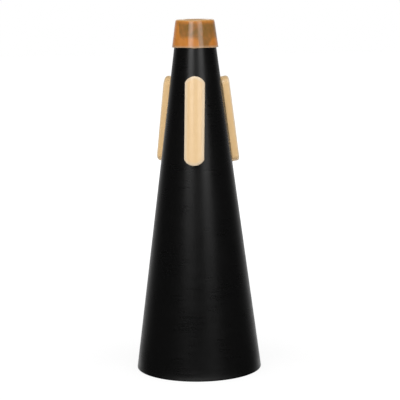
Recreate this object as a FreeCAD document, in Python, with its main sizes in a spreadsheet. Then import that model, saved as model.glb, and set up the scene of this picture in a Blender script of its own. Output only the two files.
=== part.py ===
import FreeCAD, Part
import os
import Sketcher

# Trumpet practice mute: a slim moulded cone that stands on its wide end, a soft
# translucent cap pushed over its open tip, three foam pads stuck to its flank,
# and a closed base with a small vent.
# Lengths are in millimetres and angles in degrees. The origin is the centre of
# the base rim, +Z runs up the axis to the tip, and the front pad faces -Y.

# Driving dimensions: name, value and what it measures
sizes = [
    ("base_radius", 35.84, "outer radius of the cone at the base rim"),
    ("tip_radius", 9.97, "outer radius of the cone at its open tip"),
    ("shell_height", 199.0, "height of the cone without its cap"),
    ("shell_wall", 2.0, "wall of the cone, measured level"),
    ("rim_wall", 1.2, "thinner wall below the shoulder that stops the base plate"),
    ("shoulder_height", 8.0, "height of that shoulder above the rim"),
    ("shell_rounding", 0.45, "rounding of the cone's outer edges at rim and tip"),
    ("cap_skirt", 14.4, "how far the cap reaches down over the cone"),
    ("cap_wall", 1.0, "wall of the cap's skirt, measured level"),
    ("cap_top", 1.0, "thickness of the cap's flat top"),
    ("cap_clearance", 0.1, "gap between cap and cone, measured level"),
    ("cap_top_rounding", 1.2, "rounding of the cap's upper outer edge"),
    ("cap_lip_rounding", 0.25, "rounding of the cap's lower edge and of its hole"),
    ("throat_radius", 6.5, "hole in the cap's top that lets the air in"),
    ("plate_thickness", 2.0, "thickness of the base plate"),
    ("plate_clearance", 0.05, "glue line round the base plate and its vent tube"),
    ("vent_bore", 1.8, "radius of the vent tube's bore"),
    ("vent_radius", 3.0, "outer radius of the vent tube"),
    ("vent_flange_radius", 5.5, "radius of the flange under the base plate"),
    ("vent_flange", 1.2, "thickness of that flange"),
    ("vent_length", 26.0, "whole length of the vent tube"),
    ("felt_thickness", 5.0, "thickness of the damping felt on the base plate"),
    ("felt_clearance", 0.3, "gap between the felt and what stands round it"),
    ("pad_length", 49.6, "length of a foam pad along the cone"),
    ("pad_width", 11.1, "width of a foam pad"),
    ("pad_end_radius", 6.9, "radius of a foam pad's two ends"),
    ("pad_thickness", 4.3, "thickness of the foam, measured level"),
    ("pad_rounding", 0.9, "rounding of a foam pad's outer edge"),
    ("film_thickness", 0.2, "thickness of the adhesive film behind a pad"),
    ("film_inset", 0.4, "how far the film stays inside the pad's outline"),
    ("film_clearance", 0.25, "gap on each side of the film"),
    ("front_drop", 54.8, "height of the cone's tip above the front pad's middle"),
    ("front_angle", -2.6, "turn of the front pad about the axis"),
    ("front_lean_angle", -1.0, "lean of the front pad, clockwise is negative"),
    ("left_drop", 56.4, "height of the tip above the left pad's middle"),
    ("left_angle", -125.5, "turn of the left pad about the axis"),
    ("left_lean_angle", -0.3, "lean of the left pad"),
    ("right_drop", 56.5, "height of the tip above the right pad's middle"),
    ("right_angle", 115.0, "turn of the right pad about the axis"),
    ("right_lean_angle", -0.5, "lean of the right pad"),
    ("overrun", 1.0, "how far a cut runs past the piece that it cuts"),
    ("same_place", 0.001, "two places nearer than this are one"),
]

document = FreeCAD.newDocument("practice_mute")
sheet = document.addObject("Spreadsheet::Sheet", "Sizes")
for row, (alias, size, meaning) in enumerate(sizes, start=1):
    sheet.set(f"A{row}", meaning)
    sheet.set(f"B{row}", str(size))
    sheet.setAlias(f"B{row}", alias)
document.recompute()

# Heights and radii that several pieces share
slope = "(Sizes.base_radius - Sizes.tip_radius) / Sizes.shell_height"
shoulder = "Sizes.shoulder_height"
plate_low = "(Sizes.shoulder_height - Sizes.plate_thickness)"
flange_low = f"({plate_low} - Sizes.vent_flange)"
cap_low = "(Sizes.shell_height - Sizes.cap_skirt)"
cap_high = "(Sizes.shell_height + Sizes.cap_top)"


def radius_at(height, outwards="0"):
    """The cone's outer radius at a height, plus a distance outwards."""
    return f"(Sizes.base_radius - ({height}) * {slope} + ({outwards}))"


def value(expression):
    return float(sheet.evalExpression(expression))


def origin_part(body, role):
    return next(part for part in body.Origin.OriginFeatures if part.Role == role)


def new_body(name):
    body = document.addObject("PartDesign::Body", name)
    body.Label = name
    return body


def new_sketch(body, name):
    """A sketch on the plane through the axis that faces the front."""
    sketch = body.newObject("Sketcher::SketchObject", name)
    sketch.AttachmentSupport = (origin_part(body, "XZ_Plane"), [""])
    sketch.MapMode = "FlatFace"
    return sketch


def bind(sketch, constraint, expression):
    """Add a dimension whose size follows an expression."""
    number = sketch.addConstraint(Sketcher.Constraint(*constraint, value(expression)))
    sketch.setExpression(f"Constraints[{number}]", expression)


def half_section(body, name, corners):
    """A closed outline of straight lines, each corner given as radius and height."""
    sketch = new_sketch(body, name)
    places = [FreeCAD.Vector(value(radius), value(height), 0) for radius, height in corners]
    for start, end in zip(places, places[1:] + places[:1]):
        sketch.addGeometry(Part.LineSegment(start, end))
    for line, (radius, height) in enumerate(corners):
        following = (line + 1) % len(corners)
        sketch.addConstraint(Sketcher.Constraint("Coincident", line, 2, following, 1))
        if radius == "0":
            sketch.addConstraint(Sketcher.Constraint("PointOnObject", line, 1, -2))
        else:
            bind(sketch, ("DistanceX", -1, 1, line, 1), radius)
        if height == "0":
            sketch.addConstraint(Sketcher.Constraint("PointOnObject", line, 1, -1))
        else:
            bind(sketch, ("DistanceY", -1, 1, line, 1), height)
    return sketch


def turn(body, kind, name, corners):
    """Revolve a half section all the way round the axis, to add or to cut."""
    feature = body.newObject(f"PartDesign::{kind}", name)
    feature.Profile = half_section(body, f"{name}_section", corners)
    feature.ReferenceAxis = (origin_part(body, "Z_Axis"), [""])
    feature.Angle = 360
    document.recompute()
    return feature


def rings(feature, radius, height):
    """Names of the round edges with this radius at this height."""
    names = []
    for number, edge in enumerate(feature.Shape.Edges, start=1):
        if edge.Curve.TypeId != "Part::GeomCircle":
            continue
        off_radius = abs(edge.Curve.Radius - value(radius))
        off_height = abs(edge.Curve.Center.z - value(height))
        if max(off_radius, off_height) < value("Sizes.same_place"):
            names.append(f"Edge{number}")
    return names


def round_edges(body, name, feature, edges, radius):
    fillet = body.newObject("PartDesign::Fillet", name)
    fillet.Base = (feature, edges)
    fillet.setExpression("Radius", radius)
    document.recompute()
    return fillet


# The cone: one moulding, open at the tip, with a shoulder inside its wide end
def make_cone_shell():
    body = new_body("cone_shell")
    inner = "-Sizes.shell_wall"
    rim = "-Sizes.rim_wall"
    wall = turn(body, "Revolution", "cone_wall", [
        ("Sizes.base_radius", "0"),
        ("Sizes.tip_radius", "Sizes.shell_height"),
        (radius_at("Sizes.shell_height", inner), "Sizes.shell_height"),
        (radius_at(shoulder, inner), shoulder),
        (radius_at(shoulder, rim), shoulder),
        (radius_at("0", rim), "0"),
    ])
    edges = rings(wall, "Sizes.base_radius", "0")
    edges += rings(wall, "Sizes.tip_radius", "Sizes.shell_height")
    round_edges(body, "cone_edges", wall, edges, "Sizes.shell_rounding")
    return body


# The cap: a soft skirt over the cone's tip, its flat top resting on the tip's end
def make_tip_cap():
    body = new_body("tip_cap")
    inside = "Sizes.cap_clearance"
    outside = "Sizes.cap_clearance + Sizes.cap_wall"
    skirt = turn(body, "Revolution", "cap_skirt", [
        (radius_at(cap_low, outside), cap_low),
        (radius_at(cap_high, outside), cap_high),
        ("Sizes.throat_radius", cap_high),
        ("Sizes.throat_radius", "Sizes.shell_height"),
        (radius_at("Sizes.shell_height", inside), "Sizes.shell_height"),
        (radius_at(cap_low, inside), cap_low),
    ])
    shoulder_edge = rings(skirt, radius_at(cap_high, outside), cap_high)
    crown = round_edges(body, "cap_crown", skirt, shoulder_edge, "Sizes.cap_top_rounding")
    lip = rings(crown, radius_at(cap_low, outside), cap_low)
    lip += rings(crown, radius_at(cap_low, inside), cap_low)
    lip += rings(crown, "Sizes.throat_radius", cap_high)
    round_edges(body, "cap_lips", crown, lip, "Sizes.cap_lip_rounding")
    return body


# The base plate: a disc pushed up against the shoulder and glued
def make_base_plate():
    body = new_body("base_plate")
    edge = "-Sizes.rim_wall - Sizes.plate_clearance"
    hole = "(Sizes.vent_radius + Sizes.plate_clearance)"
    turn(body, "Revolution", "plate_disc", [
        (hole, plate_low),
        (radius_at(plate_low, edge), plate_low),
        (radius_at(shoulder, edge), shoulder),
        (hole, shoulder),
    ])
    return body


# The vent tube: a flanged tube through the base plate that lets the air out
def make_vent_tube():
    body = new_body("vent_tube")
    top = f"({flange_low} + Sizes.vent_length)"
    turn(body, "Revolution", "vent_wall", [
        ("Sizes.vent_bore", flange_low),
        ("Sizes.vent_flange_radius", flange_low),
        ("Sizes.vent_flange_radius", plate_low),
        ("Sizes.vent_radius", plate_low),
        ("Sizes.vent_radius", top),
        ("Sizes.vent_bore", top),
    ])
    return body


# The damping felt: a soft disc that lies on the base plate inside the cone
def make_damping_felt():
    body = new_body("damping_felt")
    edge = "-Sizes.shell_wall - Sizes.felt_clearance"
    hole = "(Sizes.vent_radius + Sizes.felt_clearance)"
    felt_top = f"({shoulder} + Sizes.felt_thickness)"
    turn(body, "Revolution", "felt_disc", [
        (hole, shoulder),
        (radius_at(shoulder, edge), shoulder),
        (radius_at(felt_top, edge), felt_top),
        (hole, felt_top),
    ])
    return body


def pad_middle(side):
    return f"(Sizes.shell_height - Sizes.{side}_drop)"


def pad_outline(body, name, side, inset):
    """A strip with round ends, drawn on the plane that touches the cone there."""
    sketch = new_sketch(body, name)
    middle = pad_middle(side)
    place = f"vector(0; {middle}; {radius_at(middle)})"
    tilt = f"rotation(vector(1; 0; 0); -atan({slope}))"
    lean = f"rotation(vector(0; 0; 1); Sizes.{side}_lean_angle)"
    sketch.setExpression("AttachmentOffset", f"placement({place}; {tilt} * {lean})")

    half_width = f"(Sizes.pad_width / 2 - {inset})"
    end_radius = f"(Sizes.pad_end_radius - {inset})"
    centre = "(Sizes.pad_length / 2 - Sizes.pad_end_radius)"
    rise = f"sqrt({end_radius} ^ 2 - {half_width} ^ 2)"
    across = value(half_width)
    up = value(f"{centre} + {rise}")
    crown = value(f"{centre} + {end_radius}")
    upper_right = FreeCAD.Vector(across, up, 0)
    upper_left = FreeCAD.Vector(-across, up, 0)
    lower_left = FreeCAD.Vector(-across, -up, 0)
    lower_right = FreeCAD.Vector(across, -up, 0)
    sketch.addGeometry([
        Part.Arc(upper_right, FreeCAD.Vector(0, crown, 0), upper_left),
        Part.LineSegment(upper_left, lower_left),
        Part.Arc(lower_left, FreeCAD.Vector(0, -crown, 0), lower_right),
        Part.LineSegment(lower_right, upper_right),
    ])
    for curve in range(4):
        sketch.addConstraint(Sketcher.Constraint("Coincident", curve, 2, (curve + 1) % 4, 1))
    sketch.addConstraint(Sketcher.Constraint("Vertical", 1))
    sketch.addConstraint(Sketcher.Constraint("Symmetric", 0, 1, 0, 2, -2))
    sketch.addConstraint(Sketcher.Constraint("Symmetric", 0, 3, 2, 3, -1, 1))
    sketch.addConstraint(Sketcher.Constraint("Equal", 0, 2))
    sketch.addConstraint(Sketcher.Constraint("PointOnObject", 0, 3, -2))
    bind(sketch, ("Radius", 0), end_radius)
    bind(sketch, ("DistanceY", -1, 1, 0, 3), centre)
    bind(sketch, ("DistanceX", 1, 1, 3, 1), f"2 * {half_width}")
    return sketch


# A strip on the cone: cut from a straight block, hollow behind and curved in
# front, so that both faces run round with the cone. Near and far are the level
# distances of its back and its front from the cone.
def make_strip(name, side, inset, near, far):
    body = new_body(name)
    block = body.newObject("PartDesign::Pad", f"{name}_block")
    block.Profile = pad_outline(body, f"{name}_outline", side, inset)
    block.SideType = "Two sides"
    block.setExpression("Length", f"{far} + Sizes.overrun")
    block.setExpression("Length2", "Sizes.pad_width / 2")
    document.recompute()

    low = f"({pad_middle(side)} - Sizes.pad_length)"
    high = f"({pad_middle(side)} + Sizes.pad_length)"
    reach = f"{far} + Sizes.pad_width"
    turn(body, "Groove", f"{name}_back", [
        ("0", low),
        (radius_at(low, near), low),
        (radius_at(high, near), high),
        ("0", high),
    ])
    front = turn(body, "Groove", f"{name}_front", [
        (radius_at(low, far), low),
        (radius_at(low, reach), low),
        (radius_at(high, reach), high),
        (radius_at(high, far), high),
    ])
    about_axis = f"rotation(vector(0; 0; 1); Sizes.{side}_angle)"
    body.setExpression("Placement", f"placement(vector(0; 0; 0); {about_axis})")
    document.recompute()
    return body, front


def outer_edges(feature, outwards):
    """Names of the edges that lie on the strip's outer face."""
    names = []
    for number, edge in enumerate(feature.Shape.Edges, start=1):
        gaps = []
        for vertex in edge.Vertexes:
            distance = (vertex.X ** 2 + vertex.Y ** 2) ** 0.5
            gaps.append(abs(distance - value(radius_at(vertex.Z, outwards))))
        if max(gaps) < value("Sizes.same_place"):
            names.append(f"Edge{number}")
    return names


# The foam pads and the adhesive film behind each one
def make_foam_pad(side):
    name = f"foam_pad_{side}"
    near = "(2 * Sizes.film_clearance + Sizes.film_thickness)"
    far = f"({near} + Sizes.pad_thickness)"
    body, front = make_strip(name, side, "0", near, far)
    round_edges(body, f"{name}_edge", front, outer_edges(front, far), "Sizes.pad_rounding")
    return body


def make_adhesive_film(side):
    far = "(Sizes.film_clearance + Sizes.film_thickness)"
    return make_strip(
        f"adhesive_film_{side}", side, "Sizes.film_inset", "Sizes.film_clearance", far)[0]


pieces = [
    make_cone_shell(),
    make_tip_cap(),
    make_base_plate(),
    make_vent_tube(),
    make_damping_felt(),
]
for side in ("front", "left", "right"):
    pieces.append(make_foam_pad(side))
    pieces.append(make_adhesive_film(side))
document.recompute()

# Nothing is written unless every object is sound
for item in document.Objects:
    if "Invalid" in item.State or "Error" in item.State:
        raise RuntimeError(f"{item.Label} failed: {item.State}")
for piece in pieces:
    if piece.Shape.isNull() or not piece.Shape.isValid():
        raise RuntimeError(f"{piece.Label} has no sound shape")
    if len(piece.Shape.Solids) != 1:
        raise RuntimeError(f"{piece.Label} is not one solid")

os.makedirs("parts", exist_ok=True)
for piece in pieces:
    piece.Shape.exportStep(f"parts/{piece.Label}.step")
    print(piece.Label, round(piece.Shape.Volume, 2), piece.Shape.BoundBox)
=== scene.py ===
import math

import bmesh
import bpy
from mathutils import Matrix, Vector


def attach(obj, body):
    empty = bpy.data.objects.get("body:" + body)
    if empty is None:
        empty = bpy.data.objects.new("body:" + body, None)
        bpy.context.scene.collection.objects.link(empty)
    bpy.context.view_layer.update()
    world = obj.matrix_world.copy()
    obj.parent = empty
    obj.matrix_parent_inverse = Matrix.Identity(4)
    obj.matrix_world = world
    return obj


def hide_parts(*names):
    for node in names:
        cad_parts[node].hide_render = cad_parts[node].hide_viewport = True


# A trumpet practice mute on a white table. Metres, +Z up, the front pad faces -Y.

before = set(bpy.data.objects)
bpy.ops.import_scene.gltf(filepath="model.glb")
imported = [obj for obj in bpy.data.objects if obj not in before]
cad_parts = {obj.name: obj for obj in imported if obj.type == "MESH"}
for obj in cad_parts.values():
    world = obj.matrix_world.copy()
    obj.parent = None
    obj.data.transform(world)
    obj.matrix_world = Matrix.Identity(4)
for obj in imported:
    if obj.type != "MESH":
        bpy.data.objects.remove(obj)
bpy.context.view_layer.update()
mm = 0.001
print("frame loaded:", ", ".join(sorted(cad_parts)))


# Small helpers

def linear(hexColour):
    # sRGB hex to the linear colour that the shaders take
    channels = []
    for start in (1, 3, 5):
        level = int(hexColour[start:start + 2], 16) / 255
        channels.append(level / 12.92 if level <= 0.04045 else ((level + 0.055) / 1.055) ** 2.4)
    return (*channels, 1)


def addNode(tree, kind, links=None, **settings):
    # one node with its settings; a link is a socket to join or a value to set
    node = tree.nodes.new(kind)
    for name, setting in settings.items():
        setattr(node, name, setting)
    for socket, source in (links or {}).items():
        if isinstance(source, bpy.types.NodeSocket):
            tree.links.new(source, node.inputs[socket])
        else:
            node.inputs[socket].default_value = source
    return node


def newMaterial(name, shader):
    material = bpy.data.materials.new(name)
    material.use_nodes = True
    tree = material.node_tree
    tree.nodes.clear()
    principled = addNode(tree, "ShaderNodeBsdfPrincipled", shader)
    addNode(tree, "ShaderNodeOutputMaterial", {"Surface": principled.outputs[0]})
    return material, tree, principled


def meshObject(name, points, edges, faces):
    mesh = bpy.data.meshes.new(name)
    mesh.from_pydata(points, edges, faces)
    piece = bpy.data.objects.new(name, mesh)
    bpy.context.scene.collection.objects.link(piece)
    return piece


def applyTree(piece, tree, values):
    # run a Geometry Nodes tree on a piece and keep the result as its plain mesh
    modifier = piece.modifiers.new(tree.name, "NODES")
    modifier.node_group = tree
    for item in tree.interface.items_tree:
        if item.item_type == "SOCKET" and item.in_out == "INPUT" and item.name in values:
            modifier[item.identifier] = values[item.name]
    bpy.context.view_layer.update()
    result = piece.evaluated_get(bpy.context.evaluated_depsgraph_get())
    mesh = bpy.data.meshes.new_from_object(result)
    piece.modifiers.remove(modifier)
    piece.data = mesh
    return piece


def newTree(name, sockets):
    tree = bpy.data.node_groups.new(name, "GeometryNodeTree")
    tree.interface.new_socket("Geometry", in_out="OUTPUT", socket_type="NodeSocketGeometry")
    tree.interface.new_socket("Geometry", in_out="INPUT", socket_type="NodeSocketGeometry")
    for socketName, socketType in sockets:
        tree.interface.new_socket(socketName, in_out="INPUT", socket_type=socketType)
    return tree, addNode(tree, "NodeGroupInput")


# Turned pieces: a rounded half section swung round the axis

def roundedSection(corners, longest, arcSteps=8):
    # corners are (radius, height, rounding) in mm, and no straight run is over the longest
    outline = []
    for index, (radius, height, rounding) in enumerate(corners):
        here = Vector((radius, height))
        before = (Vector(corners[index - 1][:2]) - here).normalized()
        after = (Vector(corners[(index + 1) % len(corners)][:2]) - here).normalized()
        if rounding == 0:
            outline.append(here)
            continue
        halfAngle = before.angle(after) / 2
        centre = here + (before + after).normalized() * rounding / math.sin(halfAngle)
        start = here + before * rounding / math.tan(halfAngle) - centre
        end = here + after * rounding / math.tan(halfAngle) - centre
        sweep = start.angle_signed(end)
        for step in range(arcSteps + 1):
            turned = start.copy()
            turned.rotate(Matrix.Rotation(-sweep * step / arcSteps, 2))
            outline.append(centre + turned)
    points = []
    for here, following in zip(outline, outline[1:] + outline[:1]):
        runs = max(1, math.ceil((following - here).length / longest))
        points += [here.lerp(following, run / runs) for run in range(runs)]
    return points


def latheTree():
    # half section in, closed solid of revolution out
    tree, given = newTree("latheSection", [
        ("Steps", "NodeSocketInt"), ("Path Radius", "NodeSocketFloat"), ("Material", "NodeSocketMaterial")])
    section = addNode(tree, "GeometryNodeMeshToCurve", {"Mesh": given.outputs["Geometry"]})
    inset = addNode(tree, "ShaderNodeMath", {
        0: given.outputs["Path Radius"], 1: -1.0}, operation="MULTIPLY")
    shift = addNode(tree, "ShaderNodeCombineXYZ", {"X": inset.outputs[0]})
    laid = addNode(tree, "GeometryNodeTransform", {
        "Geometry": section.outputs[0], "Translation": shift.outputs[0], "Rotation": (math.pi / 2, 0, 0)})
    path = addNode(tree, "GeometryNodeCurvePrimitiveCircle", {
        "Resolution": given.outputs["Steps"], "Radius": given.outputs["Path Radius"]})
    swung = addNode(tree, "GeometryNodeCurveToMesh", {
        "Curve": path.outputs[0], "Profile Curve": laid.outputs[0]})
    smooth = addNode(tree, "GeometryNodeSetShadeSmooth", {"Geometry": swung.outputs[0]})
    real = addNode(tree, "GeometryNodeRealizeInstances", {"Geometry": smooth.outputs[0]})
    coated = addNode(tree, "GeometryNodeSetMaterial", {
        "Geometry": real.outputs[0], "Material": given.outputs["Material"]})
    addNode(tree, "NodeGroupOutput", {0: coated.outputs[0]})
    return tree


lathe = latheTree()


def turnedPiece(name, corners, material, steps, longest=4.0):
    section = roundedSection(corners, longest)
    points = [(point.x * mm, 0, point.y * mm) for point in section]
    edges = [(index, (index + 1) % len(points)) for index in range(len(points))]
    piece = meshObject(name, points, edges, [])
    applyTree(piece, lathe, {"Steps": steps, "Path Radius": points[0][0], "Material": material})
    shell = bmesh.new()
    shell.from_mesh(piece.data)
    if shell.calc_volume(signed=True) < 0:
        bmesh.ops.reverse_faces(shell, faces=shell.faces)
        shell.to_mesh(piece.data)
    shell.free()
    return piece


# The cone, with a shoulder inside its base for the plate

cone = {"baseRadius": 35.84, "tipRadius": 9.97, "height": 199.0, "wall": 2.0, "rimWall": 1.2,
        "shoulder": 8.0, "rounding": 0.45, "boreRounding": 0.2, "shoulderRounding": 0.1,
        "seatRounding": 0.05, "rimRounding": 0.15,  # mm
        "colour": "#060606", "glossiest": 0.27, "dullest": 0.33}
slope = (cone["baseRadius"] - cone["tipRadius"]) / cone["height"]
taper = math.atan(slope)


def radiusAt(height, outwards=0.0):
    return cone["baseRadius"] - slope * height + outwards


def makeBlackAbs():
    # injection moulded ABS, satin: near black with broad soft highlights, faintly ringed
    # by the turned tool that it was moulded in, and a little glossier where it is handled
    material, tree, shader = newMaterial("satinBlackAbs", {
        "Base Color": linear(cone["colour"]), "IOR": 1.53})
    place = addNode(tree, "ShaderNodeTexCoord").outputs["Object"]
    handled = addNode(tree, "ShaderNodeTexNoise", {"Vector": place, "Scale": 1 / (14 * mm), "Detail": 3.0})
    satin = addNode(tree, "ShaderNodeMapRange", {
        0: handled.outputs["Fac"], 1: 0.3, 2: 0.7, 3: cone["glossiest"], 4: cone["dullest"]})
    # the tool's rings are 0.1 mm apart, drawn about 1 mm apart so that they show
    ringed = addNode(tree, "ShaderNodeVectorMath", {
        0: place, 1: (1 / (12 * mm), 1 / (12 * mm), 1 / (1.2 * mm))}, operation="MULTIPLY")
    rings = addNode(tree, "ShaderNodeTexNoise", {"Vector": ringed.outputs[0], "Scale": 1.0, "Detail": 1.5})
    streaks = addNode(tree, "ShaderNodeMapRange", {
        0: rings.outputs["Fac"], 1: 0.3, 2: 0.7, 3: -0.026, 4: 0.026})
    rubbed = addNode(tree, "ShaderNodeMath", {0: satin.outputs[0], 1: streaks.outputs[0]}, operation="ADD")
    tree.links.new(rubbed.outputs[0], shader.inputs["Roughness"])
    ringBump = addNode(tree, "ShaderNodeBump", {
        "Strength": 1.0, "Distance": 0.012 * mm, "Height": rings.outputs["Fac"]})
    grain = addNode(tree, "ShaderNodeTexNoise", {"Vector": place, "Scale": 1 / (0.45 * mm), "Detail": 2.0})
    bump = addNode(tree, "ShaderNodeBump", {
        "Strength": 0.25, "Distance": 0.01 * mm, "Height": grain.outputs["Fac"],
        "Normal": ringBump.outputs[0]})
    tree.links.new(bump.outputs[0], shader.inputs["Normal"])
    return material


blackAbs = makeBlackAbs()
shell = turnedPiece("cone", [
    (cone["baseRadius"], 0, cone["rounding"]),
    (cone["tipRadius"], cone["height"], cone["rounding"]),
    (radiusAt(cone["height"], -cone["wall"]), cone["height"], cone["boreRounding"]),
    (radiusAt(cone["shoulder"], -cone["wall"]), cone["shoulder"], cone["shoulderRounding"]),
    (radiusAt(cone["shoulder"], -cone["rimWall"]), cone["shoulder"], cone["seatRounding"]),
    (radiusAt(0, -cone["rimWall"]), 0, cone["rimRounding"]),
], blackAbs, steps=256)
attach(shell, "mute")
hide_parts("cone_shell")
print("cone turned")


# The tip cap, pushed over the cone's tip

cap = {"skirt": 14.4, "wall": 1.0, "top": 1.0, "clearance": 0.1, "crown": 1.2, "lip": 0.14, "hole": 6.5,
       "flare": 0.12, "lipReach": 1.5,
       # how far the trimmed lip hangs below its true height, round the cap: degrees from the front, mm
       "lipHang": [(-180, 0.0), (-95, 0.1), (-60, 0.1), (-30, -0.12), (-14, -0.1), (-4, 0.2), (8, 0.08),
                   (20, -0.02), (34, 0.02), (60, 0.12), (95, 0.12), (180, 0.0)],
       # where the cap has wetted the tip behind it: from the top down to the foot, whose height
       # changes round the cap: degrees from the front, mm
       "wetTop": 199.6, "wetFade": 2.8, "wetSoft": 1.5, "wetRagged": 1.2, "wetLow": 183.0, "wetHigh": 200.0,
       "wetFoot": [(-180, 191.5), (-140, 189.0), (-110, 193.0), (-85, 198.4), (-64, 198.2), (-55, 197.8),
                   (-49, 194.4), (-43, 191.4), (-30, 190.3), (0, 189.8), (8, 189.2), (14, 183.4),
                   (30, 183.2), (36, 186.0), (46, 188.6), (62, 190.4), (100, 187.5), (140, 192.5),
                   (180, 191.5)],
       # roughness of the skirt and of the flat top, and what smears add to both
       "glossy": 0.145, "dull": 0.3, "smeared": 0.07,
       "orange": ("#c67a2a", "#cf8538"), "olive": ("#86632c", "#a56d34"),
       # painted light: both ends of the skirt are seen edge on, and are painted pale where light runs along
       # the wall and catches them
       "crownPaintedLight": "#cfa260", "crownPaintedLightReach": 1.1, "lipPaintedLight": "#b79876", "lipPaintedLightReach": 1.5}
capLow = cone["height"] - cap["skirt"]
capHigh = cone["height"] + cap["top"]


def makeAmberRubber():
    # cast amber urethane, glossy and see-through: bright orange over air, olive brown
    # where it has wetted the black tip behind it, and duller on its flat top
    material, tree, shader = newMaterial("amberUrethane", {
        "IOR": 1.7, "Transmission Weight": 0.2, "Sheen Weight": 0.5, "Sheen Roughness": 0.25})
    place = addNode(tree, "ShaderNodeTexCoord").outputs["Object"]
    axis = addNode(tree, "ShaderNodeSeparateXYZ", {0: place})
    dull = addNode(tree, "ShaderNodeMapRange", {
        0: axis.outputs["Z"], 1: (capHigh - 0.5) * mm, 2: (capHigh - 0.1) * mm,
        3: cap["glossy"], 4: cap["dull"]})
    smears = addNode(tree, "ShaderNodeTexNoise", {"Vector": place, "Scale": 1 / (5 * mm), "Detail": 3.0})
    gloss = addNode(tree, "ShaderNodeMath", {
        0: smears.outputs["Fac"], 1: cap["smeared"], 2: dull.outputs[0]}, operation="MULTIPLY_ADD")
    tree.links.new(gloss.outputs[0], shader.inputs["Roughness"])
    # the ripple that the casting left
    ripple = addNode(tree, "ShaderNodeTexNoise", {"Vector": place, "Scale": 1 / (2.2 * mm), "Detail": 2.0})
    bump = addNode(tree, "ShaderNodeBump", {
        "Strength": 0.5, "Distance": 0.06 * mm, "Height": ripple.outputs["Fac"]})
    tree.links.new(bump.outputs[0], shader.inputs["Normal"])
    front = addNode(tree, "ShaderNodeMath", {0: axis.outputs["Y"], 1: -1.0}, operation="MULTIPLY")
    turn = addNode(tree, "ShaderNodeMath", {0: axis.outputs["X"], 1: front.outputs[0]}, operation="ARCTAN2")
    wayRound = addNode(tree, "ShaderNodeMapRange", {0: turn.outputs[0], 1: -math.pi, 2: math.pi})
    foot = addNode(tree, "ShaderNodeFloatCurve", {"Value": wayRound.outputs[0]})
    curve = foot.mapping.curves[0]
    span = cap["wetHigh"] - cap["wetLow"]
    spots = [((degrees + 180) / 360, (height - cap["wetLow"]) / span) for degrees, height in cap["wetFoot"]]
    curve.points[0].location, curve.points[-1].location = spots[0], spots[-1]
    for spot in spots[1:-1]:
        curve.points.new(*spot)
    foot.mapping.update()
    patches = addNode(tree, "ShaderNodeTexNoise", {"Vector": place, "Scale": 1 / (3.5 * mm), "Detail": 4.0})
    ragged = addNode(tree, "ShaderNodeMath", {
        0: patches.outputs["Fac"], 1: 2 * cap["wetRagged"] * mm, 2: axis.outputs["Z"]},
        operation="MULTIPLY_ADD")
    level = addNode(tree, "ShaderNodeMath", {
        0: foot.outputs[0], 1: -span * mm, 2: ragged.outputs[0]}, operation="MULTIPLY_ADD")
    edge = (cap["wetLow"] + cap["wetRagged"]) * mm
    above = addNode(tree, "ShaderNodeMapRange", {
        0: level.outputs[0], 1: edge - cap["wetSoft"] * mm, 2: edge + cap["wetSoft"] * mm},
        interpolation_type="SMOOTHSTEP")
    below = addNode(tree, "ShaderNodeMapRange", {
        0: axis.outputs["Z"], 1: cap["wetTop"] * mm, 2: (cap["wetTop"] - cap["wetFade"]) * mm},
        interpolation_type="SMOOTHSTEP")
    wetted = addNode(tree, "ShaderNodeMath", {
        0: above.outputs[0], 1: below.outputs[0]}, operation="MULTIPLY")
    haze = addNode(tree, "ShaderNodeTexNoise", {"Vector": place, "Scale": 1 / (3 * mm), "Detail": 3.0})
    cloud = addNode(tree, "ShaderNodeMapRange", {0: haze.outputs["Fac"], 1: 0.3, 2: 0.7})
    olive, orange = [addNode(tree, "ShaderNodeMix", {
        0: cloud.outputs[0], 6: linear(cap[tone][0]), 7: linear(cap[tone][1])}, data_type="RGBA")
        for tone in ("olive", "orange")]
    body = addNode(tree, "ShaderNodeMix", {
        0: wetted.outputs[0], 6: orange.outputs[2], 7: olive.outputs[2]}, data_type="RGBA")
    # painted light: the flat top and the lip are painted paler than the body, standing in for the light
    # they catch
    crown = addNode(tree, "ShaderNodeMapRange", {
        0: axis.outputs["Z"], 1: capHigh * mm, 2: (capHigh - cap["crownPaintedLightReach"]) * mm})
    lip = addNode(tree, "ShaderNodeMapRange", {
        0: axis.outputs["Z"], 1: capLow * mm, 2: (capLow + cap["lipPaintedLightReach"]) * mm})
    paintedCrownLight = addNode(tree, "ShaderNodeMix", {
        0: crown.outputs[0], 6: linear(cap["crownPaintedLight"]), 7: body.outputs[2]}, data_type="RGBA")
    shade = addNode(tree, "ShaderNodeMix", {
        0: lip.outputs[0], 6: linear(cap["lipPaintedLight"]), 7: paintedCrownLight.outputs[2]}, data_type="RGBA")
    tree.links.new(shade.outputs[2], shader.inputs["Base Color"])
    return material


amberRubber = makeAmberRubber()
inside = cap["clearance"]
outside = cap["clearance"] + cap["wall"]
tipCap = turnedPiece("amberCap", [
    (radiusAt(capLow, outside + cap["flare"]), capLow, cap["lip"]),
    (radiusAt(capHigh, outside), capHigh, cap["crown"]),
    (cap["hole"], capHigh, cap["lip"]),
    (cap["hole"], cone["height"], 0),
    (radiusAt(cone["height"], inside), cone["height"], 0),
    (radiusAt(capLow, inside), capLow, cap["lip"]),
], amberRubber, steps=160, longest=1.0)
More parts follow.
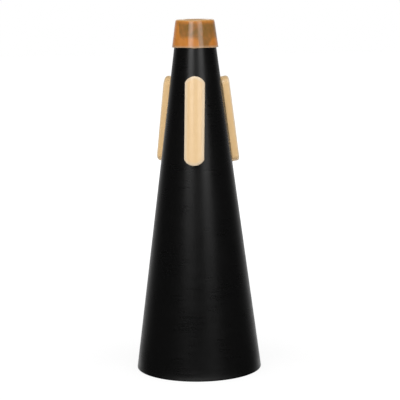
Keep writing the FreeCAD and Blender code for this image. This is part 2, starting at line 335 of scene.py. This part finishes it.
# the trimmed lip isn't quite level, and hangs lowest in front
for vertex in tipCap.data.vertices:
    turn = math.degrees(math.atan2(vertex.co.x, -vertex.co.y))
    spot = max(index for index, stop in enumerate(cap["lipHang"][:-1]) if stop[0] <= turn)
    (fromTurn, fromHang), (toTurn, toHang) = cap["lipHang"][spot:spot + 2]
    ease = (1 - math.cos(math.pi * (turn - fromTurn) / (toTurn - fromTurn))) / 2
    near = max(0.0, 1 - (vertex.co.z / mm - capLow) / cap["lipReach"])
    fall = (fromHang + (toHang - fromHang) * ease) * near * mm
    outwards = 1 + slope * fall / math.hypot(vertex.co.x, vertex.co.y)
    vertex.co = (vertex.co.x * outwards, vertex.co.y * outwards, vertex.co.z - fall)
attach(tipCap, "cap")
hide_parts("tip_cap")
print("cap turned")


# The foam pads: a flat strip of foam bent round the cone

pad = {"length": 49.6, "width": 11.0, "endRadius": 6.2, "cornerRadius": 2.0, "back": 0.5, "front": 5.8,
       "crown": 0.9, "rounding": 0.45, "endRounding": 0.9, "backRounding": 0.12,  # mm
       # middle below the cone's tip in mm, degrees round the cone and degrees of lean
       "places": {"front": {"drop": 54.8, "turn": -2.6, "lean": -1.0},
                  "left": {"drop": 56.4, "turn": -125.5, "lean": -0.3},
                  "right": {"drop": 56.5, "turn": 115.0, "lean": -0.5}},
       # the cut sides' deeper tone is partly the cut foam's own and partly painted bounce light; the rim's
       # paler greyer tone is a painted highlight
       "face": ("#ddb988", "#e4c494"), "cutAndBounceLight": ("#e0b981", "#e8c48f"), "paintedEdgeHighlight": "#dbc5a6"}


def stripOutline(inset, sideSteps=36, endSteps=10, cornerSteps=4):
    # the strip's outline drawn in by an inset: round ends, small corners, straight sides
    halfWidth = max(0.0, pad["width"] / 2 - inset)
    endRadius = pad["endRadius"] - inset
    corner = min(max(0.02, pad["cornerRadius"] - inset), halfWidth)
    centre = pad["length"] / 2 - pad["endRadius"]
    across = halfWidth - corner
    rise = math.sqrt(max(0.0, (endRadius - corner) ** 2 - across ** 2))
    swing = math.atan2(across, rise)
    points = []
    for way in (1, -1):
        for step in range(cornerSteps):
            angle = math.pi / 2 - (math.pi / 2 - swing) * step / cornerSteps
            points.append((way * (across + corner * math.sin(angle)),
                           way * (centre + rise + corner * math.cos(angle))))
        for step in range(endSteps + 1):
            angle = swing - 2 * swing * step / endSteps
            points.append((way * endRadius * math.sin(angle), way * (centre + endRadius * math.cos(angle))))
        for step in range(1, cornerSteps):
            angle = -swing - (math.pi / 2 - swing) * step / cornerSteps
            points.append((way * (corner * math.sin(angle) - across),
                           way * (centre + rise + corner * math.cos(angle))))
        for step in range(sideSteps):
            points.append((-way * halfWidth, way * (centre + rise) * (1 - 2 * step / sideSteps)))
    return points


def flatStrip(name):
    # rings from the middle of the back, up the side and in over the front, each an inset and a level
    middle = pad["width"] / 2
    edge = pad["front"] - pad["crown"]
    levels = [(middle, pad["back"]), (middle * 0.5, pad["back"]), (pad["backRounding"], pad["back"])]
    for step in range(1, 4):
        angle = math.pi / 2 * step / 3
        levels.append((pad["backRounding"] * (1 - math.sin(angle)),
                       pad["back"] + pad["backRounding"] * (1 - math.cos(angle))))
    low, high = pad["back"] + pad["backRounding"], edge - pad["rounding"]
    levels += [(0, low + (high - low) * share) for share in (0.33, 0.67, 1.0)]
    rim = len(levels) - 1
    for step in range(1, 8):
        angle = math.pi / 2 * step / 7
        levels.append((pad["rounding"] * (1 - math.cos(angle)), high + pad["rounding"] * math.sin(angle)))
    levels += [(pad["rounding"] + (middle - pad["rounding"]) * share, edge)
               for share in (0.1, 0.22, 0.36, 0.52, 0.68, 0.84, 1.0)]
    # how far each ring lies past the rim, over the front, for the foam's material
    pastRim = [0.0]
    for (inset, level), (nextInset, nextLevel) in zip(levels, levels[1:]):
        pastRim.append(pastRim[-1] + math.hypot(nextInset - inset, nextLevel - level))
    points, faces, ringReach = [], [], []
    for (inset, level), reach in zip(levels, pastRim):
        stretch = min(1.0, max(0.0, (level - low) / (high - low)))
        for x, y in stripOutline(inset):
            # the front is crowned across, and its ends are rounded over more than its sides
            crown = pad["crown"] * (1 - (x / middle) ** 2)
            pastCentre = max(0.0, abs(y) - pad["length"] / 2 + pad["endRadius"])
            fromEnd = min(1.0, (pad["endRadius"] - math.hypot(x, pastCentre)) / pad["endRounding"])
            drop = pad["endRounding"] * (1 - math.sqrt(max(0.0, 1 - (1 - fromEnd) ** 2)))
            raised = min(level + crown * stretch, edge + crown - drop)
            points.append((x * mm, y * mm, raised * mm))
            ringReach.append((reach - pastRim[rim]) * mm)
    around = len(points) // len(levels)
    for ring in range(len(levels) - 1):
        for step in range(around):
            following = (step + 1) % around
            faces.append((ring * around + step, ring * around + following,
                          (ring + 1) * around + following, (ring + 1) * around + step))
    strip = meshObject(name, points, [], faces)
    strip.data.attributes.new("pastRim", "FLOAT", "POINT").data.foreach_set("value", ringReach)
    solid = bmesh.new()
    solid.from_mesh(strip.data)
    bmesh.ops.remove_doubles(solid, verts=solid.verts, dist=0.001 * mm)
    bmesh.ops.recalc_face_normals(solid, faces=solid.faces)
    solid.to_mesh(strip.data)
    solid.free()
    return strip


def wrapTree():
    # bends a flat strip round the cone and sets it at its height and turn
    tree, given = newTree("wrapOnCone", [
        ("Cone Radius", "NodeSocketFloat"), ("Taper", "NodeSocketFloat"), ("Height", "NodeSocketFloat"),
        ("Turn", "NodeSocketFloat"), ("Lean", "NodeSocketFloat"), ("Material", "NodeSocketMaterial")])

    def calculate(operation, first, second=0.0):
        return addNode(tree, "ShaderNodeMath", {0: first, 1: second}, operation=operation).outputs[0]

    radius, angle = given.outputs["Cone Radius"], given.outputs["Taper"]
    leaning = addNode(tree, "ShaderNodeCombineXYZ", {"Z": given.outputs["Lean"]})
    leant = addNode(tree, "GeometryNodeTransform", {
        "Geometry": given.outputs["Geometry"], "Rotation": leaning.outputs[0]})
    place = addNode(tree, "GeometryNodeInputPosition")
    across, along, level = addNode(tree, "ShaderNodeSeparateXYZ", {0: place.outputs[0]}).outputs
    cosine = calculate("COSINE", angle)
    narrowed = calculate("MULTIPLY", along, calculate("SINE", angle))
    lifted = calculate("MULTIPLY", level, calculate("MULTIPLY", cosine, cosine))
    bend = calculate("ADD", calculate("SUBTRACT", radius, narrowed), lifted)
    inner = calculate("SUBTRACT", calculate("MULTIPLY", bend, bend), calculate("MULTIPLY", across, across))
    sag = calculate("SUBTRACT", bend, calculate("SQRT", inner))
    outward = calculate("MULTIPLY", cosine, calculate("SUBTRACT", level, sag))
    bentPlace = addNode(tree, "ShaderNodeCombineXYZ", {"X": across, "Y": along, "Z": outward})
    bent = addNode(tree, "GeometryNodeSetPosition", {
        "Geometry": leant.outputs[0], "Position": bentPlace.outputs[0]})
    tilt = addNode(tree, "ShaderNodeCombineXYZ", {"X": calculate("SUBTRACT", math.pi / 2, angle)})
    seat = addNode(tree, "ShaderNodeCombineXYZ", {
        "Y": calculate("MULTIPLY", radius, -1.0), "Z": given.outputs["Height"]})
    stood = addNode(tree, "GeometryNodeTransform", {
        "Geometry": bent.outputs[0], "Translation": seat.outputs[0], "Rotation": tilt.outputs[0]})
    turning = addNode(tree, "ShaderNodeCombineXYZ", {"Z": given.outputs["Turn"]})
    turned = addNode(tree, "GeometryNodeTransform", {
        "Geometry": stood.outputs[0], "Rotation": turning.outputs[0]})
    smooth = addNode(tree, "GeometryNodeSetShadeSmooth", {"Geometry": turned.outputs[0]})
    real = addNode(tree, "GeometryNodeRealizeInstances", {"Geometry": smooth.outputs[0]})
    coated = addNode(tree, "GeometryNodeSetMaterial", {
        "Geometry": real.outputs[0], "Material": given.outputs["Material"]})
    addNode(tree, "NodeGroupOutput", {0: coated.outputs[0]})
    return tree


def makeCreamFoam():
    # closed-cell EVA foam: a pale skinned face with a soft sheen, a painted highlight that makes it paler
    # and greyer round its rim,
    # and sides painted a shade deeper: partly the cut foam's own tone, partly painted bounce light
    material, tree, shader = newMaterial("creamEvaFoam", {
        "IOR": 1.5, "Specular IOR Level": 1.0, "Roughness": 0.27, "Sheen Weight": 0.2,
        "Sheen Roughness": 0.4})
    place = addNode(tree, "ShaderNodeTexCoord").outputs["Object"]
    mottle = addNode(tree, "ShaderNodeTexNoise", {"Vector": place, "Scale": 1 / (4 * mm), "Detail": 4.0})
    # the cut sides are painted a shade deeper: partly the cut foam's own tone, partly painted bounce light
    face, cutAndBounceLight = [addNode(tree, "ShaderNodeMix", {
        0: mottle.outputs["Fac"], 6: linear(pad[tone][0]), 7: linear(pad[tone][1])}, data_type="RGBA")
        for tone in ("face", "cutAndBounceLight")]
    # the strip's own attribute: metres past its rim, negative down the cut sides
    pastRim = addNode(tree, "ShaderNodeAttribute", attribute_name="pastRim").outputs["Fac"]
    # painted highlight: the rim and the first of the face past it are painted paler and greyer
    paintedEdgeHighlight = addNode(tree, "ShaderNodeMapRange", {0: pastRim, 1: -0.65 * mm, 2: 0.25 * mm})
    skin = addNode(tree, "ShaderNodeMapRange", {0: pastRim, 1: 0.7 * mm, 2: 2.3 * mm})
    edge = addNode(tree, "ShaderNodeMix", {
        0: paintedEdgeHighlight.outputs[0], 6: cutAndBounceLight.outputs[2], 7: linear(pad["paintedEdgeHighlight"])}, data_type="RGBA")
    shade = addNode(tree, "ShaderNodeMix", {
        0: skin.outputs[0], 6: edge.outputs[2], 7: face.outputs[2]}, data_type="RGBA")
    tree.links.new(shade.outputs[2], shader.inputs["Base Color"])
    cells = addNode(tree, "ShaderNodeTexVoronoi", {"Vector": place, "Scale": 1 / (0.35 * mm)})
    bump = addNode(tree, "ShaderNodeBump", {
        "Strength": 0.15, "Distance": 0.02 * mm, "Height": cells.outputs["Distance"]})
    tree.links.new(bump.outputs[0], shader.inputs["Normal"])
    return material


wrap = wrapTree()
creamFoam = makeCreamFoam()
for side, spot in pad["places"].items():
    middleHeight = cone["height"] - spot["drop"]
    strip = applyTree(flatStrip(f"foamPad_{side}"), wrap, {
        "Cone Radius": radiusAt(middleHeight) * mm, "Taper": taper, "Height": middleHeight * mm,
        "Turn": math.radians(spot["turn"]), "Lean": math.radians(spot["lean"]), "Material": creamFoam})
    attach(strip, "mute")
    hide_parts(f"foam_pad_{side}")
print("pads wrapped")


# The damping felt: a soft disc that lies on the base plate inside the cone

felt = {"low": 8.0, "thick": 5.0, "hole": 3.3, "gap": 2.3, "rounding": 0.9, "crown": 0.35,
        "dome": 20.0,  # mm
        "flecks": ("#46474b", "#77777a")}
feltHigh = felt["low"] + felt["thick"]
feltMiddle = (radiusAt(feltHigh, -felt["gap"]) + felt["hole"]) / 2


def makeGreyFelt():
    # pressed wool felt: dull flecked grey, short fibres that lie every way
    material, tree, shader = newMaterial("greyWoolFelt", {
        "Roughness": 0.95, "Sheen Weight": 0.4, "Sheen Roughness": 0.6})
    place = addNode(tree, "ShaderNodeTexCoord").outputs["Object"]
    flecks = addNode(tree, "ShaderNodeTexNoise", {"Vector": place, "Scale": 1 / (1.2 * mm), "Detail": 5.0})
    shade = addNode(tree, "ShaderNodeMix", {
        0: flecks.outputs["Fac"], 6: linear(felt["flecks"][0]), 7: linear(felt["flecks"][1])},
        data_type="RGBA")
    tree.links.new(shade.outputs[2], shader.inputs["Base Color"])
    fibres = addNode(tree, "ShaderNodeTexNoise", {
        "Vector": place, "Scale": 1 / (0.5 * mm), "Detail": 3.0, "Distortion": 2.0})
    bump = addNode(tree, "ShaderNodeBump", {
        "Strength": 0.6, "Distance": 0.15 * mm, "Height": fibres.outputs["Fac"]})
    tree.links.new(bump.outputs[0], shader.inputs["Normal"])
    return material


greyFelt = makeGreyFelt()
feltDisc = turnedPiece("dampingFelt", [
    (radiusAt(felt["low"], -felt["gap"]), felt["low"], felt["rounding"] / 2),
    (radiusAt(feltHigh, -felt["gap"]), feltHigh - felt["crown"], felt["rounding"]),
    (feltMiddle, feltHigh, felt["dome"]),
    (felt["hole"], feltHigh - felt["crown"], felt["rounding"]),
    (felt["hole"], felt["low"], felt["rounding"] / 2),
], greyFelt, steps=96)
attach(feltDisc, "mute")
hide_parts("damping_felt")
print("felt turned")


# Pieces kept from the CAD with their finish

film = {"clear": "#a8966c", "cloudy": "#c4b48c"}


def makeAdhesive():
    # acrylic adhesive film: a dull straw line behind each pad, cloudy where it has squeezed
    material, tree, shader = newMaterial("acrylicFilm", {"IOR": 1.47, "Roughness": 0.4})
    place = addNode(tree, "ShaderNodeTexCoord").outputs["Object"]
    cloudy = addNode(tree, "ShaderNodeTexNoise", {"Vector": place, "Scale": 1 / (2 * mm), "Detail": 3.0})
    shade = addNode(tree, "ShaderNodeMix", {
        0: cloudy.outputs["Fac"], 6: linear(film["clear"]), 7: linear(film["cloudy"])}, data_type="RGBA")
    tree.links.new(shade.outputs[2], shader.inputs["Base Color"])
    bump = addNode(tree, "ShaderNodeBump", {
        "Strength": 0.3, "Distance": 0.02 * mm, "Height": cloudy.outputs["Fac"]})
    tree.links.new(bump.outputs[0], shader.inputs["Normal"])
    return material


acrylicFilm = makeAdhesive()
finishes = {"base_plate": blackAbs, "vent_tube": blackAbs}
finishes |= {f"adhesive_film_{side}": acrylicFilm for side in pad["places"]}
for node, material in finishes.items():
    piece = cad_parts[node]
    piece.data.materials.clear()
    piece.data.materials.append(material)
print("kept pieces finished")


# Stage, lights and camera

table = {"reach": 3.0, "paper": "#dcdcdc", "shaded": "#787878",
         # the glow that makes it white to the camera, and how far out it changes, in metres
         "glowNear": 0.82, "glowFar": 1.0, "glowFrom": 0.06, "glowTo": 0.5,
         # what the object mirrors of it: strengths, and reaches past the base in mm
         "mirroredNear": 2.1, "mirroredBehind": 0.75, "nearby": 20.0, "aheadFalloff": 8.0,
         "contactFrom": 1.5, "contactTo": 7.0}
room = {"fill": 0.27, "mirroredRound": 0.03, "mirroredBehind": 0.35, "mirroredAbove": 1.0,
        "horizon": 0.04, "falloff": 4.0}


def surroundings(tree, backwards, behindLevel):
    # how bright the room is in a reflection: dark flags round the object, pale behind it
    behind = addNode(tree, "ShaderNodeMath", {0: backwards, 1: 0.0}, operation="MAXIMUM")
    falling = addNode(tree, "ShaderNodeMath", {0: behind.outputs[0], 1: room["falloff"]}, operation="POWER")
    level = addNode(tree, "ShaderNodeMath", {
        0: falling.outputs[0], 1: behindLevel, 2: room["mirroredRound"]}, operation="MULTIPLY_ADD")
    return level.outputs[0]


def makeTable():
    # white table: full white to the camera but for the object's shadow
    reach = table["reach"]
    corners = [(-reach, -reach, 0), (reach, -reach, 0), (reach, reach, 0), (-reach, reach, 0)]
    top = meshObject("whiteTable", corners, [], [(0, 1, 2, 3)])
    material = bpy.data.materials.new("whiteTableTop")
    material.use_nodes = True
    tree = material.node_tree
    tree.nodes.clear()
    baseRadius = cone["baseRadius"] * mm
    rays = addNode(tree, "ShaderNodeLightPath")
    tablePoint = addNode(tree, "ShaderNodeTexCoord").outputs["Object"]
    spot = addNode(tree, "ShaderNodeSeparateXYZ", {0: tablePoint})
    sideways = addNode(tree, "ShaderNodeMath", {0: spot.outputs["X"]}, operation="ABSOLUTE")
    clear = addNode(tree, "ShaderNodeMath", {0: sideways.outputs[0], 1: baseRadius}, operation="SUBTRACT")
    outwards = addNode(tree, "ShaderNodeMath", {0: clear.outputs[0], 1: 0.0}, operation="MAXIMUM")
    away = addNode(tree, "ShaderNodeCombineXYZ", {"X": outwards.outputs[0], "Y": spot.outputs["Y"]})
    heading = addNode(tree, "ShaderNodeVectorMath", {0: away.outputs[0]}, operation="NORMALIZE")
    farWay = addNode(tree, "ShaderNodeSeparateXYZ", {0: heading.outputs[0]})
    # close to the base a reflection leaves along its edge, so there the edge's own direction counts
    apart = addNode(tree, "ShaderNodeVectorMath", {0: tablePoint}, operation="LENGTH")
    way = addNode(tree, "ShaderNodeMath", {
        0: spot.outputs["Y"], 1: apart.outputs["Value"]}, operation="DIVIDE")
    forward = addNode(tree, "ShaderNodeMath", {0: way.outputs[0], 1: 0.0}, operation="MINIMUM")
    squared = addNode(tree, "ShaderNodeMath", {0: forward.outputs[0], 1: 2.0}, operation="POWER")
    nearWay = addNode(tree, "ShaderNodeMath", {
        0: squared.outputs[0], 1: -2.0, 2: 1.0}, operation="MULTIPLY_ADD")
    farther = addNode(tree, "ShaderNodeMapRange", {
        0: apart.outputs["Value"], 1: baseRadius, 2: 2 * baseRadius})
    backwards = addNode(tree, "ShaderNodeMix", {
        0: farther.outputs[0], 2: nearWay.outputs[0], 3: farWay.outputs["Y"]})
    behind = surroundings(tree, backwards.outputs[0], table["mirroredBehind"])
    # in the base's reflection the table is bright just ahead of it and dark where they touch
    close = addNode(tree, "ShaderNodeMapRange", {
        0: apart.outputs["Value"], 1: baseRadius, 2: (cone["baseRadius"] + table["nearby"]) * mm,
        3: table["mirroredNear"], 4: 0.0})
    ahead = addNode(tree, "ShaderNodeMath", {
        0: forward.outputs[0], 1: table["aheadFalloff"]}, operation="POWER")
    touching = addNode(tree, "ShaderNodeMapRange", {
        0: apart.outputs["Value"], 1: (cone["baseRadius"] + table["contactFrom"]) * mm,
        2: (cone["baseRadius"] + table["contactTo"]) * mm})
    patch = addNode(tree, "ShaderNodeMath", {
        0: close.outputs[0], 1: touching.outputs[0]}, operation="MULTIPLY")
    strip = addNode(tree, "ShaderNodeMath", {
        0: patch.outputs[0], 1: ahead.outputs[0], 2: behind}, operation="MULTIPLY_ADD")
    mirrored = addNode(tree, "ShaderNodeEmission", {"Color": (1, 1, 1, 1), "Strength": strip.outputs[0]})
    paper = addNode(tree, "ShaderNodeBsdfDiffuse", {"Color": linear(table["paper"])})
    shaded = addNode(tree, "ShaderNodeBsdfDiffuse", {"Color": linear(table["shaded"])})
    whiter = addNode(tree, "ShaderNodeMapRange", {
        0: apart.outputs["Value"], 1: table["glowFrom"], 2: table["glowTo"],
        3: table["glowNear"], 4: table["glowFar"]})
    glow = addNode(tree, "ShaderNodeEmission", {"Color": (1, 1, 1, 1), "Strength": whiter.outputs[0]})
    seen = addNode(tree, "ShaderNodeAddShader", {0: shaded.outputs[0], 1: glow.outputs[0]})
    lit = addNode(tree, "ShaderNodeMixShader", {
        0: rays.outputs["Is Camera Ray"], 1: paper.outputs[0], 2: seen.outputs[0]})
    chosen = addNode(tree, "ShaderNodeMixShader", {
        0: rays.outputs["Is Glossy Ray"], 1: lit.outputs[0], 2: mirrored.outputs[0]})
    addNode(tree, "ShaderNodeOutputMaterial", {"Surface": chosen.outputs[0]})
    # the glow is for the eye alone, so no light is sampled from it
    material.cycles.emission_sampling = "NONE"
    top.data.materials.append(material)


makeTable()
print("table laid")

# softboxes: degrees round the object and above its middle, spans in degrees
lamps = {
    "leftBox": {"turn": -23, "rise": 24, "wide": 23, "tall": 25, "brightness": 2.9},
    "rightBox": {"turn": 29.5, "rise": 21.5, "wide": 23, "tall": 27, "brightness": 2.1},
    "middleBox": {"turn": 3, "rise": 24, "wide": 28, "tall": 20, "brightness": 0.45},
    "overheadBox": {"turn": 0, "rise": 68, "wide": 60, "tall": 40, "brightness": 2.0},
    "leftFill": {"turn": -74, "rise": 18, "wide": 50, "tall": 50, "brightness": 1.65, "mirrored": False},
    "rightFill": {"turn": 74, "rise": 18, "wide": 50, "tall": 50, "brightness": 1.55, "mirrored": False},
    "backFill": {"turn": 180, "rise": 25, "wide": 60, "tall": 50, "brightness": 1.1, "mirrored": False},
}
lampDistance = 1.1
lampTarget = Vector((0, 0, 0.1))
for name, lamp in lamps.items():
    light = bpy.data.lights.new(name, "AREA")
    light.shape = "RECTANGLE"
    light.size = 2 * lampDistance * math.tan(math.radians(lamp["wide"] / 2))
    light.size_y = 2 * lampDistance * math.tan(math.radians(lamp["tall"] / 2))
    light.energy = lamp["brightness"] * math.pi * light.size * light.size_y
    box = bpy.data.objects.new(name, light)
    turn, rise = math.radians(lamp["turn"]), math.radians(lamp["rise"])
    away = Vector((math.sin(turn) * math.cos(rise), -math.cos(turn) * math.cos(rise), math.sin(rise)))
    box.location = lampTarget + away * lampDistance
    box.rotation_euler = away.to_track_quat("Z", "Y").to_euler()
    box.visible_glossy = lamp.get("mirrored", True)
    bpy.context.scene.collection.objects.link(box)


def makeRoom():
    # white to the camera and through the cap, dim as a fill light, flagged in reflections
    world = bpy.data.worlds.new("studioRoom")
    bpy.context.scene.world = world
    world.use_nodes = True
    tree = world.node_tree
    tree.nodes.clear()
    rays = addNode(tree, "ShaderNodeLightPath")
    direction = addNode(tree, "ShaderNodeTexCoord").outputs["Generated"]
    skyward = addNode(tree, "ShaderNodeSeparateXYZ", {0: direction})
    overhead = addNode(tree, "ShaderNodeMapRange", {
        0: skyward.outputs["Z"], 1: 0.0, 2: room["horizon"],
        3: room["mirroredBehind"], 4: room["mirroredAbove"]})
    mirrored = surroundings(tree, skyward.outputs["Y"], overhead.outputs[0])
    dim = addNode(tree, "ShaderNodeMix", {
        0: rays.outputs["Is Glossy Ray"], 2: room["fill"], 3: mirrored})
    direct = addNode(tree, "ShaderNodeMath", {
        0: rays.outputs["Is Camera Ray"], 1: rays.outputs["Is Transmission Ray"]}, operation="MAXIMUM")
    bright = addNode(tree, "ShaderNodeMix", {0: direct.outputs[0], 2: dim.outputs[0], 3: 1.0})
    background = addNode(tree, "ShaderNodeBackground", {
        "Color": (1, 1, 1, 1), "Strength": bright.outputs[0]})
    addNode(tree, "ShaderNodeOutputWorld", {"Surface": background.outputs[0]})


makeRoom()
print("stage lit")

# the camera, as the photo's outline fits it: metres, degrees and mm of lens
view = {"distance": 0.8739, "height": 0.2323, "pitch": 8.782, "yaw": 0.106, "roll": -0.72, "lens": 139.2,
        "sensor": 36}
cameraData = bpy.data.cameras.new("camera")
cameraData.lens = view["lens"]
cameraData.sensor_width = view["sensor"]
cameraData.clip_start, cameraData.clip_end = 0.05, 20
camera = bpy.data.objects.new("camera", cameraData)
camera.matrix_world = (
    Matrix.Translation((0, -view["distance"], view["height"]))
    @ Matrix.Rotation(-math.radians(view["yaw"]), 4, "Z")
    @ Matrix.Rotation(math.radians(90 - view["pitch"]), 4, "X")
    @ Matrix.Rotation(math.radians(view["roll"]), 4, "Z"))
bpy.context.scene.collection.objects.link(camera)
bpy.context.scene.camera = camera
bpy.context.scene.view_settings.view_transform = "Standard"
print("camera set")
